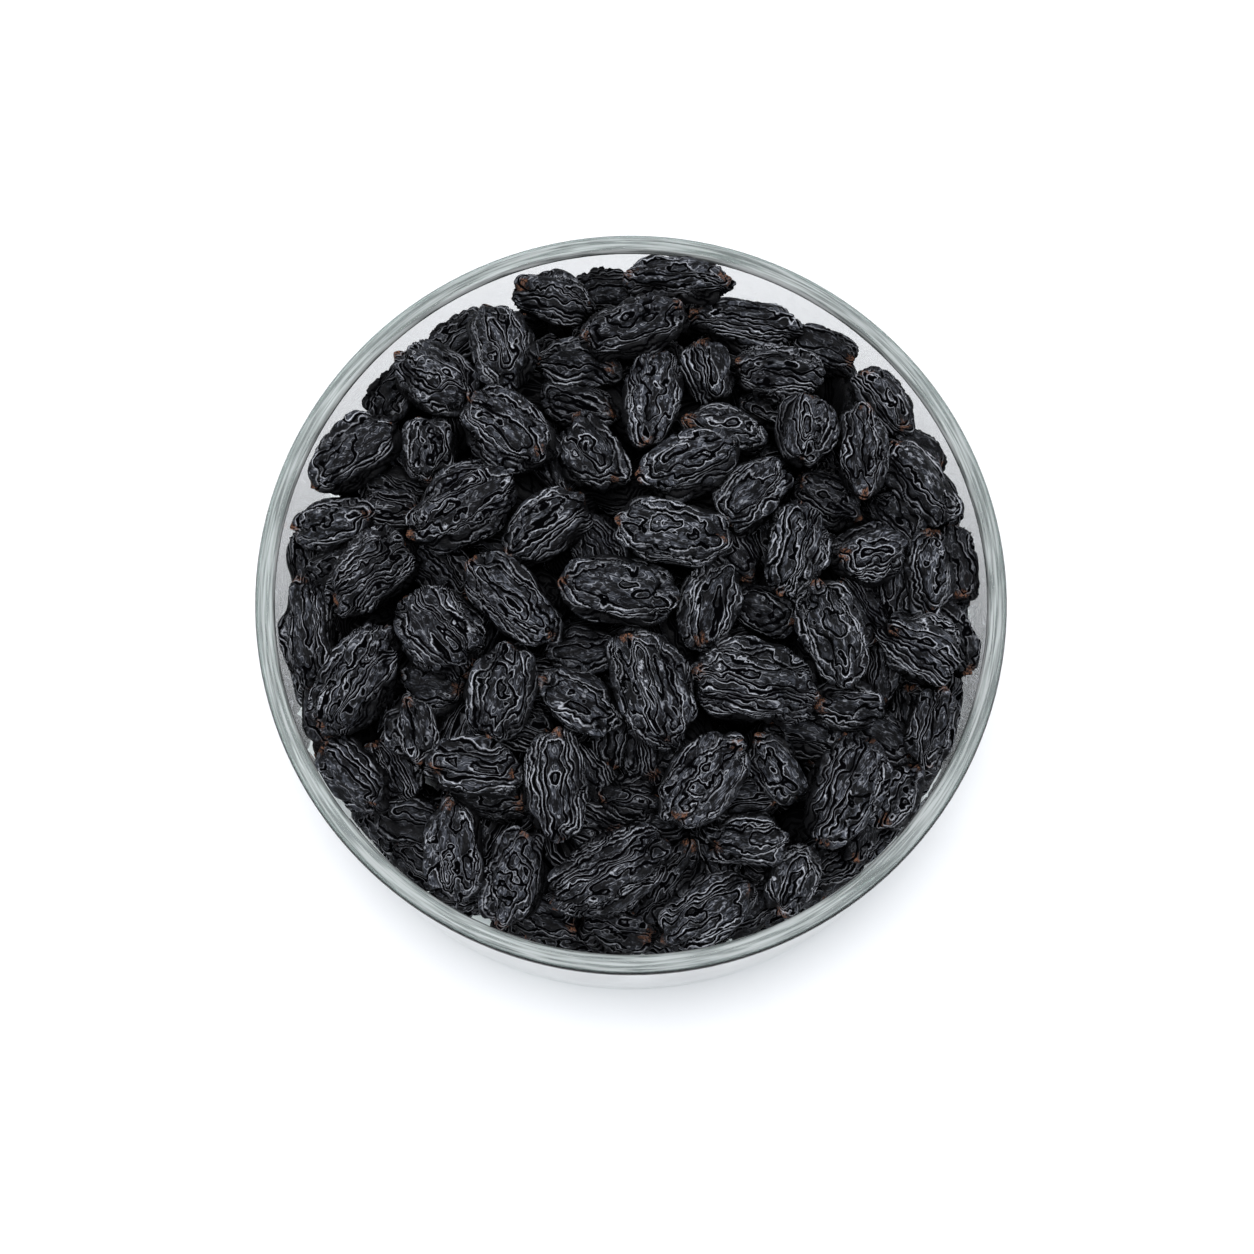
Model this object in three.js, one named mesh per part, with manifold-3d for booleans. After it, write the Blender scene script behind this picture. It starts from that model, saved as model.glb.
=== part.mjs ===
// A clear glass bowl heaped with black raisins.
// Millimetres, +Z up. The origin is the middle of the flat base, on the surface the bowl stands on.
import * as THREE from 'three';
import { mergeVertices } from 'three/addons/utils/BufferGeometryUtils.js';
import Module from 'manifold-3d';

const wasm = await Module();
wasm.setup();

// The bowl: straight walls, a rounded rim and a thick base
const BOWL_RADIUS = 60;
const BOWL_HEIGHT = 59;
const WALL = 3.2;
const BASE_THICKNESS = 5.5;
const BASE_ROUND = 7;
const FLOOR_ROUND = 9;
const BOWL_SIDES = 56;
const INNER_RADIUS = BOWL_RADIUS - WALL;

// The heap: how high the middles of the top raisins lie over the rim, at the centre and at the wall
const HEAP_CENTRE = 8;
const HEAP_EDGE = -4.5;

// The raisins under the top layer, as one solid whose skin lies this far below those middles,
// and this much deeper still where it meets the wall
const BED_DEPTH = 2;
const WALL_DROP = 3;
const BED_SIDES = 40;
const DOME_RINGS = 5;

// A raisin: thickness for its width, how far it may tip out of the heap's slope, and its gaps
const FLATNESS = 0.84;
const TIP_ANGLE = 9;
const FACET_GROWTH = 1.04;
const GAP = 0.35;
const WALL_GAP = 0.5;

// How the top layer settles: rounds of pushing apart, the first ones with a pull to the listed places
const PULLED_ROUNDS = 160;
const FREE_ROUNDS = 240;
const HOME_PULL = 0.04;

// The top layer, one raisin a row: x and y of its middle, the direction of its long axis in degrees
// from +X, its length, its width, and how far it lies above (+) or below (-) the heap's skin.
const TOP_LAYER = [
  [-21.5, 40.5, -72, 16, 10, 0],
  [-31.5, 35.5, -33, 15, 10.5, 0],
  [-45, 23, 37, 17, 10, 0],
  [-34.5, 23.5, -82, 11.5, 9, -1.5],
  [-20.5, 24.5, -42, 18, 11.5, 1.5],
  [-26.5, 13.5, 30, 18.5, 12, 1.5],
  [-13, 49.5, -17, 14, 8.5, 0],
  [8, 51.5, -2, 17.5, 8, 3],
  [1, 44, 20, 17.5, 9.5, 1.5],
  [17.5, 47.5, -6, 19, 8.5, 0],
  [-8.5, 38.5, -12, 14.5, 8.5, -1.5],
  [3, 31, 84, 18, 9, 1.5],
  [12.5, 36.5, -75, 11.5, 8.5, -1.5],
  [23, 37, -5, 15, 9, -1.5],
  [14.5, 26.5, -5, 13.5, 8, -1.5],
  [9.5, 18.5, 20, 17, 9.5, 1.5],
  [-6, 22, -58, 14, 9.5, -1.5],
  [40.5, 33, -54, 13, 8, -1.5],
  [36.5, 23, 90, 17.5, 8, 1.5],
  [28.5, 27, 85, 12, 9.5, 0],
  [45.5, 19.5, -48, 15.5, 9, 0],
  [19.5, 15, 48, 14.5, 9.5, 0],
  [-48, 12.5, 5, 14.5, 8, -1.5],
  [-41, 2.5, 38, 16, 11.5, 1.5],
  [-51.5, -6.5, -84, 18.5, 8.5, 0],
  [-44, -14, 57, 19, 12, 1.5],
  [-29.5, -7, -48, 15.5, 12, 0],
  [-18.5, -3, -42, 18.5, 10, 1.5],
  [-20, -16, 75, 15.5, 11, 0],
  [-13.5, 9.5, 38, 15.5, 10, 0],
  [7, 9, -10, 18.5, 10, 1.5],
  [-2, -1, -9, 18.5, 10, 1.5],
  [12.5, -3.5, 73, 14, 9, 0],
  [-8, -17.5, -32, 14, 8.5, -1.5],
  [3, -16.5, -68, 19.5, 12, 1.5],
  [18.5, -14, -10, 20, 13, 1.5],
  [25, 6.5, 76, 16, 9.5, 0],
  [37.5, 7, 18, 12.5, 9.5, -1.5],
  [47.5, 3.5, 88, 14.5, 8, -1.5],
  [30.5, -6, -72, 17.5, 9.5, 1.5],
  [46, -9.5, -28, 14.5, 10.5, 0],
  [48, -19.5, 80, 12.5, 8.5, 0],
  [34.5, -17.5, -3, 13, 8, -1.5],
  [-43.5, -29, -48, 14.5, 8, 0],
  [-38.5, -28, -62, 11.5, 8, -1.5],
  [-34, -23, -80, 11, 8, -1.5],
  [-24, -27, -6, 15, 9, 0],
  [-27.5, -40.5, -87, 17, 9, 0],
  [-18, -45, 74, 16, 9.5, 0],
  [-12, -30.5, -88, 17.5, 10, 0],
  [11.5, -30, 52, 17, 11, 1.5],
  [-3, -44, 30, 20.5, 12, 1.5],
  [19.5, -40, 4, 12.5, 8.5, -1.5],
  [12, -49.5, 31, 16.5, 10, 0],
  [23.5, -27.5, -55, 12, 8, -1.5],
  [34, -31.5, 64, 18.5, 12, 1.5],
  [42.5, -30.5, 58, 12, 8, 0],
  [25.5, -45, 66, 11.5, 8, -1.5],
];

// Points of an arc in the (radius, height) plane, both ends included
function arc(radius, height, size, from, to, steps) {
  const points = [];
  for (let step = 0; step <= steps; step++) {
    const angle = THREE.MathUtils.degToRad(from + (to - from) * step / steps);
    points.push(new THREE.Vector2(radius + size * Math.cos(angle), height + size * Math.sin(angle)));
  }
  return points;
}

// A solid turned about the vertical axis from an outline that starts and ends on it
function turned(outline, sides) {
  return new THREE.LatheGeometry(outline, sides).rotateX(Math.PI / 2);
}

function bowlGeometry() {
  const outline = [
    new THREE.Vector2(0, 0),
    ...arc(BOWL_RADIUS - BASE_ROUND, BASE_ROUND, BASE_ROUND, -90, 0, 4),
    ...arc(BOWL_RADIUS - WALL / 2, BOWL_HEIGHT - WALL / 2, WALL / 2, 0, 180, 6),
    ...arc(INNER_RADIUS - FLOOR_ROUND, BASE_THICKNESS + FLOOR_ROUND, FLOOR_ROUND, 0, -90, 4),
    new THREE.Vector2(0, BASE_THICKNESS),
  ];
  return turned(outline, BOWL_SIDES);
}

// Height of the top raisins' middles at a distance from the bowl's axis
function heapHeight(radius) {
  const share = Math.min(radius / INNER_RADIUS, 1);
  return BOWL_HEIGHT + HEAP_CENTRE - (HEAP_CENTRE - HEAP_EDGE) * share ** 2;
}

function bedHeight(radius) {
  const share = radius / INNER_RADIUS;
  return heapHeight(radius) - BED_DEPTH - WALL_DROP * share ** 6;
}

function bedGeometry() {
  const outerRadius = INNER_RADIUS - WALL_GAP;
  const outline = [
    new THREE.Vector2(0, BASE_THICKNESS + WALL_GAP),
    ...arc(INNER_RADIUS - FLOOR_ROUND, BASE_THICKNESS + FLOOR_ROUND, FLOOR_ROUND - WALL_GAP, -90, 0, 3),
  ];
  for (let ring = 0; ring <= DOME_RINGS; ring++) {
    const radius = outerRadius * (1 - ring / DOME_RINGS);
    outline.push(new THREE.Vector2(radius, bedHeight(radius)));
  }
  return turned(outline, BED_SIDES);
}

// A repeatable number from -1 to 1 for each raisin
function wobble(index, kind) {
  const value = Math.sin(index * 12.9898 + kind * 78.233) * 43758.5453;
  return 2 * (value - Math.floor(value)) - 1;
}

// Turn of a raisin whose long axis follows its heading and whose flat side lies on the heap's slope
function layOnSlope(x, y, heading, index) {
  const slope = 2 * (HEAP_CENTRE - HEAP_EDGE) / INNER_RADIUS ** 2;
  const tip = Math.tan(THREE.MathUtils.degToRad(TIP_ANGLE));
  const up = new THREE.Vector3(slope * x + tip * wobble(index, 1), slope * y + tip * wobble(index, 2), 1);
  up.normalize();
  const angle = THREE.MathUtils.degToRad(heading);
  const side = new THREE.Vector3(-Math.sin(angle), Math.cos(angle), 0);
  const long = new THREE.Vector3().crossVectors(side, up).normalize();
  side.crossVectors(up, long);
  return new THREE.Quaternion().setFromRotationMatrix(new THREE.Matrix4().makeBasis(long, side, up));
}

// Balls that fill a flattened egg shape from inside and touch its skin
function fillingBalls(half, turn) {
  const reach = { x: (half.x ** 2 - half.z ** 2) / half.x, y: (half.y ** 2 - half.z ** 2) / half.y };
  const spots = [[-1, 0], [-0.75, 0], [-0.4, 0], [0, 0], [0.4, 0], [0.75, 0], [1, 0],
    [-0.75, 0.5], [-0.4, 0.85], [0, 0.95], [0.4, 0.85], [0.75, 0.5],
    [-0.75, -0.5], [-0.4, -0.85], [0, -0.95], [0.4, -0.85], [0.75, -0.5]];
  return spots.map(([along, across]) => {
    const shrink = 1 - along ** 2 * reach.x / half.x - across ** 2 * reach.y / half.y;
    return {
      offset: new THREE.Vector3(along * reach.x, across * reach.y, 0).applyQuaternion(turn),
      radius: half.z * Math.sqrt(Math.max(shrink, 0)),
    };
  });
}

function listRaisins() {
  return TOP_LAYER.map(([x, y, heading, length, width, lift], index) => {
    const half = new THREE.Vector3(length, width, width * FLATNESS).multiplyScalar(0.5);
    const home = new THREE.Vector3(x, y, heapHeight(Math.hypot(x, y)) + lift);
    const turn = layOnSlope(x, y, heading, index);
    return { half, home, turn, centre: home.clone(), balls: fillingBalls(half, turn) };
  });
}

// The shift that parts two raisins where they are closest, or null if they are apart already
function partingShift(one, other) {
  const between = new THREE.Vector3().subVectors(one.centre, other.centre);
  if (between.length() > one.half.x + other.half.x + GAP) return null;
  let deepest = 0;
  let shift = null;
  for (const ball of one.balls) {
    for (const rival of other.balls) {
      const line = between.clone().add(ball.offset).sub(rival.offset);
      const depth = ball.radius + rival.radius + 2 * GAP - line.length();
      if (depth > deepest) {
        deepest = depth;
        shift = line.setLength(depth / 2);
      }
    }
  }
  return shift;
}

function keepInsideWall(raisin) {
  for (const ball of raisin.balls) {
    const x = raisin.centre.x + ball.offset.x;
    const y = raisin.centre.y + ball.offset.y;
    const reach = Math.hypot(x, y);
    const excess = reach + ball.radius + WALL_GAP - INNER_RADIUS;
    if (excess > 0) {
      raisin.centre.x -= excess * x / reach;
      raisin.centre.y -= excess * y / reach;
    }
  }
}

function settle(raisins) {
  for (let round = 0; round < PULLED_ROUNDS + FREE_ROUNDS; round++) {
    const pull = round < PULLED_ROUNDS ? HOME_PULL : 0;
    raisins.forEach((raisin, index) => {
      raisin.centre.lerp(raisin.home, pull);
      for (const other of raisins.slice(index + 1)) {
        const shift = partingShift(raisin, other);
        if (shift) {
          raisin.centre.add(shift);
          other.centre.sub(shift);
        }
      }
      keepInsideWall(raisin);
    });
  }
}

// A raisin's faceted body about its own middle, grown a little to hold the volume of the round one
function raisinGeometry(raisin) {
  const size = raisin.half.clone().multiplyScalar(FACET_GROWTH);
  return new THREE.IcosahedronGeometry(1, 1).scale(size.x, size.y, size.z);
}

function toSolid(geometry) {
  const bare = geometry.clone();
  bare.deleteAttribute('normal');
  bare.deleteAttribute('uv');
  const merged = mergeVertices(bare, 1e-4);
  const corners = [];
  for (let start = 0; start < merged.index.count; start += 3) {
    const triangle = [0, 1, 2].map((corner) => merged.index.getX(start + corner));
    if (new Set(triangle).size === 3) corners.push(...triangle);
  }
  return new wasm.Manifold(new wasm.Mesh({
    numProp: 3,
    vertProperties: new Float32Array(merged.attributes.position.array),
    triVerts: new Uint32Array(corners),
  }));
}

function toGeometry(solid) {
  const mesh = solid.getMesh();
  const geometry = new THREE.BufferGeometry();
  geometry.setAttribute('position', new THREE.BufferAttribute(mesh.vertProperties, 3));
  geometry.setIndex(new THREE.BufferAttribute(mesh.triVerts, 1));
  return geometry;
}

// The bed with a hollow under each top raisin, a gap larger than the raisin all round
function hollowedBed(raisins) {
  let bed = toSolid(bedGeometry());
  for (const raisin of raisins) {
    const growth = 1 + GAP / raisin.half.z;
    const room = raisinGeometry(raisin);
    room.scale(growth, growth, growth);
    room.applyQuaternion(raisin.turn);
    room.translate(raisin.centre.x, raisin.centre.y, raisin.centre.z);
    bed = bed.subtract(toSolid(room));
  }
  return toGeometry(bed);
}

function glass() {
  return new THREE.MeshStandardMaterial({
    color: 0xdfe8e4,
    roughness: 0.05,
    metalness: 0,
    transparent: true,
    opacity: 0.35,
  });
}

function raisinSkin(shade) {
  const colour = new THREE.Color(0x1d1c20).lerp(new THREE.Color(0x2b2624), shade);
  return new THREE.MeshStandardMaterial({ color: colour, roughness: 0.5, metalness: 0 });
}

function named(name, geometry, material) {
  const mesh = new THREE.Mesh(geometry, material);
  mesh.name = name;
  return mesh;
}

const group = new THREE.Group();
const raisins = listRaisins();
settle(raisins);

group.add(named('bowl', bowlGeometry(), glass()));
group.add(named('raisin_bed', hollowedBed(raisins), raisinSkin(0)));
raisins.forEach((raisin, index) => {
  const name = `raisin_${String(index + 1).padStart(2, '0')}`;
  const mesh = named(name, raisinGeometry(raisin), raisinSkin(0.5 + 0.5 * wobble(index, 3)));
  mesh.position.copy(raisin.centre);
  mesh.quaternion.copy(raisin.turn);
  group.add(mesh);
});

export default group;
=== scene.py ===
# %% [markdown]
# A clear glass bowl heaped with black raisins.
# The construction model gives the bowl's size and the place of each raisin of the top layer.
# This script loads it, and makes the fine surfaces round it: clear glass, and dried wrinkled skin.
# Lengths on raisins are in millimetres, because their folds are under a millimetre deep.
# They become metres once, when a mesh is finished.

# %% Load the construction model
import math

import bmesh
import bpy
import numpy as np
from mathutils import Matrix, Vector


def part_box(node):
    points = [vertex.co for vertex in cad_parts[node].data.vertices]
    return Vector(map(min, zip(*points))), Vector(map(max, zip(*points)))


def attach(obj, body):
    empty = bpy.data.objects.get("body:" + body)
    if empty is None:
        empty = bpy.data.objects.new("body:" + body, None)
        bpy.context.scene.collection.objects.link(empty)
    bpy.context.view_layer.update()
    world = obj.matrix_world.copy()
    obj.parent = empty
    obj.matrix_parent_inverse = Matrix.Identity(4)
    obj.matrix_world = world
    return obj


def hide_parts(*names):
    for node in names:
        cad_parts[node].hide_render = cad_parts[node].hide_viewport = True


MM = 0.001
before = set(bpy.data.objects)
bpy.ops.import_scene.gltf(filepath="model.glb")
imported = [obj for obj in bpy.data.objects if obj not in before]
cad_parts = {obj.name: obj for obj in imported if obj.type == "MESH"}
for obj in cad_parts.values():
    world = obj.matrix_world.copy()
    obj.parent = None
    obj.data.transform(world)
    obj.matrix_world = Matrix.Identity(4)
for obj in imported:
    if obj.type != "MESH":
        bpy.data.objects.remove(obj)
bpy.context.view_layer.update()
bowl_low, bowl_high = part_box("bowl")
print("bowl", [round(v / MM, 1) for v in bowl_high - bowl_low], "mm")

# %% [markdown]
# The camera stands where the picture was taken from: almost over the bowl, a little to the front.
# The rim is a circle, so how flat its ellipse looks gives the angle, and how much the near half
# of it is larger than the far half gives the distance. The camera aims a few millimetres in front
# of the rim's middle, which puts the bowl where the picture has it, so the lens needs no shift.

# %% Camera
RIM_HEIGHT = bowl_high.z
CAMERA_DISTANCE = 0.441
CAMERA_ELEVATION = math.radians(79.5)
PICTURE_WIDTH_PX = 1254
FOCAL_LENGTH_PX = 2770
SENSOR_MM = 36
NEAREST_SEEN = 0.01
AIM_OFFSET_MM = (-0.6, -4.9, -0.9)
rim_middle = Vector((0, 0, RIM_HEIGHT))
aim = rim_middle + Vector(AIM_OFFSET_MM) * MM
towards_camera = Vector((0, -math.cos(CAMERA_ELEVATION), math.sin(CAMERA_ELEVATION)))

camera_data = bpy.data.cameras.new("camera")
camera_data.sensor_width = SENSOR_MM
camera_data.lens = SENSOR_MM * FOCAL_LENGTH_PX / PICTURE_WIDTH_PX
camera_data.clip_start = NEAREST_SEEN
camera = bpy.data.objects.new("camera", camera_data)
camera.location = rim_middle + towards_camera * CAMERA_DISTANCE
camera.rotation_euler = (aim - camera.location).to_track_quat("-Z", "Y").to_euler()
bpy.context.scene.collection.objects.link(camera)
bpy.context.scene.camera = camera
print("lens", round(camera_data.lens, 1), "mm")

# %% [markdown]
# Sums in a material are easier to read as sums than as nodes. This small class wraps a socket,
# and each +, -, * or / on it adds a Math node. Every other node comes from its node method:
# the type first, then the node's settings, then what goes into its sockets.

# %% Shader maths
class Wire:
    def __init__(self, tree, socket=None):
        self.tree = tree
        self.socket = socket

    def node(self, kind, settings=None, inputs=None, output=0):
        made = self.tree.nodes.new(kind)
        for name, value in (settings or {}).items():
            setattr(made, name, value)
        for name, value in (inputs or {}).items():
            if isinstance(value, Wire):
                self.tree.links.new(value.socket, made.inputs[name])
            else:
                made.inputs[name].default_value = value
        return Wire(self.tree, made.outputs[output])

    def maths(self, operation, first, second=0.0):
        return self.node("ShaderNodeMath", {"operation": operation}, {0: first, 1: second})

    def __add__(self, other):
        return self.maths("ADD", self, other)

    def __sub__(self, other):
        return self.maths("SUBTRACT", self, other)

    def __rsub__(self, other):
        return self.maths("SUBTRACT", other, self)

    def __mul__(self, other):
        return self.maths("MULTIPLY", self, other)

    def __truediv__(self, other):
        return self.maths("DIVIDE", self, other)

    __radd__ = __add__
    __rmul__ = __mul__

    def ramp(self, low, high):
        """0 below low, 1 above high and a smooth step between them; low may be the larger one."""
        settings = {"interpolation_type": "SMOOTHSTEP"}
        return self.node("ShaderNodeMapRange", settings, {0: self, 1: low, 2: high, 3: 0.0, 4: 1.0})

    def colours(self, first, second):
        """The first colour where this is 0 and the second where it is 1."""
        settings = {"data_type": "RGBA"}
        return self.node("ShaderNodeMix", settings, {0: self, 6: first, 7: second}, output=2)


def new_material(name):
    """A material with a fresh tree, its output node, and a wire to start sums from."""
    material = bpy.data.materials.new(name)
    material.use_nodes = True
    tree = material.node_tree
    tree.nodes.clear()
    end = tree.nodes.new("ShaderNodeOutputMaterial")
    return material, end, Wire(tree)


# %% [markdown]
# The stage is plain: a pale floor that runs out to the horizon, an even pale sky that does most of
# the lighting, and one wide soft light overhead that brightens whatever faces up.

# %% Floor, sky and light
FLOOR_SIZE = 12.0
FLOOR_COLOUR = (0.86, 0.86, 0.87, 1)
FLOOR_ROUGHNESS = 0.9
SKY_COLOUR = (0.93, 0.95, 1.0, 1)
SKY_STRENGTH = 1.0
LIGHT_SIZE = 0.4
LIGHT_PLACE = (-0.03, 0.04, 0.9)
LIGHT_WATTS = 5.5


def make_floor():
    mesh = bpy.data.meshes.new("floor")
    bm = bmesh.new()
    bmesh.ops.create_grid(bm, x_segments=1, y_segments=1, size=FLOOR_SIZE / 2)
    bm.to_mesh(mesh)
    bm.free()
    material, end, start = new_material("floor")
    paint = start.node("ShaderNodeBsdfPrincipled", {}, {
        "Base Color": FLOOR_COLOUR, "Roughness": FLOOR_ROUGHNESS})
    material.node_tree.links.new(paint.socket, end.inputs["Surface"])
    mesh.materials.append(material)
    floor = bpy.data.objects.new("floor", mesh)
    bpy.context.scene.collection.objects.link(floor)


def make_sky():
    sky = bpy.data.worlds.new("sky")
    sky.use_nodes = True
    background = sky.node_tree.nodes["Background"]
    background.inputs["Color"].default_value = SKY_COLOUR
    background.inputs["Strength"].default_value = SKY_STRENGTH
    bpy.context.scene.world = sky


def make_light(name, place, size, watts):
    lamp = bpy.data.lights.new(name, "AREA")
    lamp.shape = "DISK"
    lamp.size = size
    lamp.energy = watts
    light = bpy.data.objects.new(name, lamp)
    light.location = place
    light.rotation_euler = (rim_middle - Vector(place)).to_track_quat("-Z", "Y").to_euler()
    bpy.context.scene.collection.objects.link(light)


make_floor()
make_sky()
make_light("overhead", LIGHT_PLACE, LIGHT_SIZE, LIGHT_WATTS)
bpy.context.scene.view_settings.view_transform = "Standard"
print("stage ready")

# %% [markdown]
# The bowl is one piece of glass, made by turning. An outline runs from the middle of the base,
# round the foot, up the wall, over the rounded rim and down again to the middle of the floor.
# Spinning an outline is how a potter or a lathe makes such a form, and it closes by itself.
# Its sizes are those of the construction model, with tighter corners at the rim.

# %% Bowl shape
BOWL_RADIUS = bowl_high.x / MM
BOWL_HEIGHT = bowl_high.z / MM
WALL = 3.2
BASE_THICKNESS = 5.5
BASE_ROUND = 7.0
FLOOR_ROUND = 9.0
RIM_ROUND = 1.2
INNER_ROUND = 0.8
BESIDE = 0.1
INNER_RADIUS = BOWL_RADIUS - WALL
BOWL_STEPS = 144
FOOT_STEPS = 12
RIM_STEPS = 8
INNER_RIM_STEPS = 6
SAME_POINT = 1e-6


def arc(radius, height, size, start, stop, steps):
    """Points of an arc in the plane of the bowl's outline, in millimetres."""
    angles = [math.radians(start + (stop - start) * step / steps) for step in range(steps + 1)]
    return [(radius + size * math.cos(a), height + size * math.sin(a)) for a in angles]


def bowl_outline():
    """The outline's corners, with a point close beside each arc so that the walls shade straight."""
    corner_height = BOWL_HEIGHT - RIM_ROUND
    inner_height = BOWL_HEIGHT - INNER_ROUND
    foot_radius = BOWL_RADIUS - BASE_ROUND
    floor_radius = INNER_RADIUS - FLOOR_ROUND
    floor_height = BASE_THICKNESS + FLOOR_ROUND
    outline = [(0, 0), (foot_radius - BESIDE, 0)]
    outline += arc(foot_radius, BASE_ROUND, BASE_ROUND, -90, 0, FOOT_STEPS)
    outline += [(BOWL_RADIUS, BASE_ROUND + BESIDE), (BOWL_RADIUS, corner_height - BESIDE)]
    outline += arc(BOWL_RADIUS - RIM_ROUND, corner_height, RIM_ROUND, 0, 90, RIM_STEPS)
    outline += arc(INNER_RADIUS + INNER_ROUND, inner_height, INNER_ROUND, 90, 180, INNER_RIM_STEPS)
    outline += [(INNER_RADIUS, inner_height - BESIDE), (INNER_RADIUS, floor_height + BESIDE)]
    outline += arc(floor_radius, floor_height, FLOOR_ROUND, 0, -90, FOOT_STEPS)
    outline += [(floor_radius - BESIDE, BASE_THICKNESS), (0, BASE_THICKNESS)]
    return outline


def make_bowl():
    bm = bmesh.new()
    corners = [bm.verts.new((radius * MM, 0, height * MM)) for radius, height in bowl_outline()]
    edges = [bm.edges.new(pair) for pair in zip(corners, corners[1:])]
    bmesh.ops.spin(bm, geom=corners + edges, cent=(0, 0, 0), axis=(0, 0, 1),
                   angle=math.tau, steps=BOWL_STEPS, use_merge=True)
    bmesh.ops.remove_doubles(bm, verts=bm.verts, dist=SAME_POINT)
    bmesh.ops.recalc_face_normals(bm, faces=bm.faces)
    mesh = bpy.data.meshes.new("glass_bowl")
    bm.to_mesh(mesh)
    bm.free()
    mesh.shade_smooth()
    bowl = bpy.data.objects.new("glass_bowl", mesh)
    bpy.context.scene.collection.objects.link(bowl)
    return bowl


print("bowl outline of", len(bowl_outline()), "corners")

# %% [markdown]
# Clear glass has almost no colour of its own. It shows as a faint green-grey where light runs a
# long way through it. An absorbing volume does just that, as it darkens light by the length of
# its way. Round the thick foot a part of the light goes straight on without bending, which keeps
# it from turning black under the dark raisins. The top of the rim shows a pale green-grey band,
# finely streaked round the bowl, which is light seen through the glass there; a streaked matte
# layer over the glass paints that light and its darker streaks. Shadows of clear glass are made faint.

# %% Glass
GLASS_IOR = 1.5
GLASS_TINT = (0.80, 0.86, 0.84, 1)
GLASS_DENSITY = 30.0
GLASS_SHINE = (0.1, 0.1, 0.1, 1)
STRAIGHT_SHARE = 0.45
# Colours of the painted light on the rim's top: its darker streaks and its pale band
RIM_DARK = (0.130, 0.143, 0.140, 1)
RIM_PALE = (0.420, 0.437, 0.432, 1)
RIM_LIGHT_SHARE = 0.65
RIM_ROUGHNESS = 0.6
RIM_GLOSS = 0.2
SHADOW_TINT = (0.93, 0.96, 0.95, 1)
# How far the streaks move through their noise: for each millimetre across the rim, and as the
# radius of the circle that one turn round the bowl makes in it
STREAKS_ACROSS = 2.8
STREAKS_ROUND = 6.0
STREAK_STEP = (0.35, 0.65)
# Where the painted rim light starts and where it is full, in millimetres below the top and inside the
# edge
TOP_FADE = (0.8, 0.4)
EDGE_FADE = (0.45, 0.7)
# Over how many millimetres the unbent light fades out, upwards and towards the middle of the floor
FOOT_FADE = 4.0
FLOOR_FADE = 6.0


def painted_rim_light(start, flat, radius):
    """Painted light on the rim's top: a matte layer with fine streaks that run round the bowl."""
    round_way = start.node("ShaderNodeVectorMath", {"operation": "NORMALIZE"}, {0: flat})
    across = start.node("ShaderNodeCombineXYZ", {}, {2: STREAKS_ACROSS / MM * radius})
    spot = start.node("ShaderNodeVectorMath", {"operation": "MULTIPLY_ADD"},
                      {0: round_way, 1: (STREAKS_ROUND, STREAKS_ROUND, STREAKS_ROUND), 2: across})
    streaks = start.node("ShaderNodeTexNoise", {}, {"Vector": spot, "Scale": 1.0, "Detail": 2.0})
    return start.node("ShaderNodeBsdfPrincipled", {}, {
        "Base Color": streaks.ramp(*STREAK_STEP).colours(RIM_DARK, RIM_PALE),
        "Roughness": RIM_ROUGHNESS, "Specular IOR Level": RIM_GLOSS})


def make_glass():
    material, end, start = new_material("clear_glass")
    place = start.node("ShaderNodeTexCoord", output="Object")
    glass = start.node("ShaderNodeBsdfPrincipled", {}, {
        "Base Color": (1, 1, 1, 1), "Roughness": 0.0, "IOR": GLASS_IOR,
        "Transmission Weight": 1.0, "Specular Tint": GLASS_SHINE})
    height = start.node("ShaderNodeSeparateXYZ", {}, {0: place}, output="Z")
    flat = start.node("ShaderNodeVectorMath", {"operation": "MULTIPLY"}, {0: place, 1: (1, 1, 0)})
    radius = start.node("ShaderNodeVectorMath", {"operation": "LENGTH"}, {0: flat}, output="Value")
    rim_band_light = painted_rim_light(start, flat, radius)
    on_top = height.ramp(*[(BOWL_HEIGHT - below) * MM for below in TOP_FADE])
    inwards = radius.ramp(*[(BOWL_RADIUS - inside) * MM for inside in EDGE_FADE])
    # The painted rim light covers this share of the glass at the top of the rim
    at_rim = on_top * inwards * RIM_LIGHT_SHARE
    glass = start.node("ShaderNodeMixShader", {}, {0: at_rim, 1: glass, 2: rim_band_light})
    clear = start.node("ShaderNodeBsdfTransparent", {}, {"Color": SHADOW_TINT})
    shadow = start.node("ShaderNodeLightPath", output="Is Shadow Ray")
    flat_floor = INNER_RADIUS - FLOOR_ROUND
    low = height.ramp((BASE_ROUND + FOOT_FADE) * MM, BASE_ROUND * MM)
    outer = radius.ramp((flat_floor - FLOOR_FADE) * MM, flat_floor * MM)
    straight = shadow.maths("MAXIMUM", shadow, low * outer * STRAIGHT_SHARE)
    both = start.node("ShaderNodeMixShader", {}, {0: straight, 1: glass, 2: clear})
    depth = start.node("ShaderNodeVolumeAbsorption", {}, {"Color": GLASS_TINT, "Density": GLASS_DENSITY})
    material.node_tree.links.new(both.socket, end.inputs["Surface"])
    material.node_tree.links.new(depth.socket, end.inputs["Volume"])
    return material


glass_bowl = make_bowl()
glass_bowl.data.materials.append(make_glass())
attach(glass_bowl, "root")
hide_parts("bowl")
print("bowl", len(glass_bowl.data.polygons), "faces")

# %% [markdown]
# A raisin starts as a grape whose skin is too large for it once it has dried. The skin sinks in
# along narrow furrows and leaves flat-topped folds between them. Furrows run beside each other
# like the height lines on a map: lengthwise over the top, and round the outline on the flanks.
# To get even small faces all over, each raisin starts as a cube whose faces are cut into a grid
# and pushed out to a ball. A ball made of rings would crowd its faces at two points.

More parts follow.
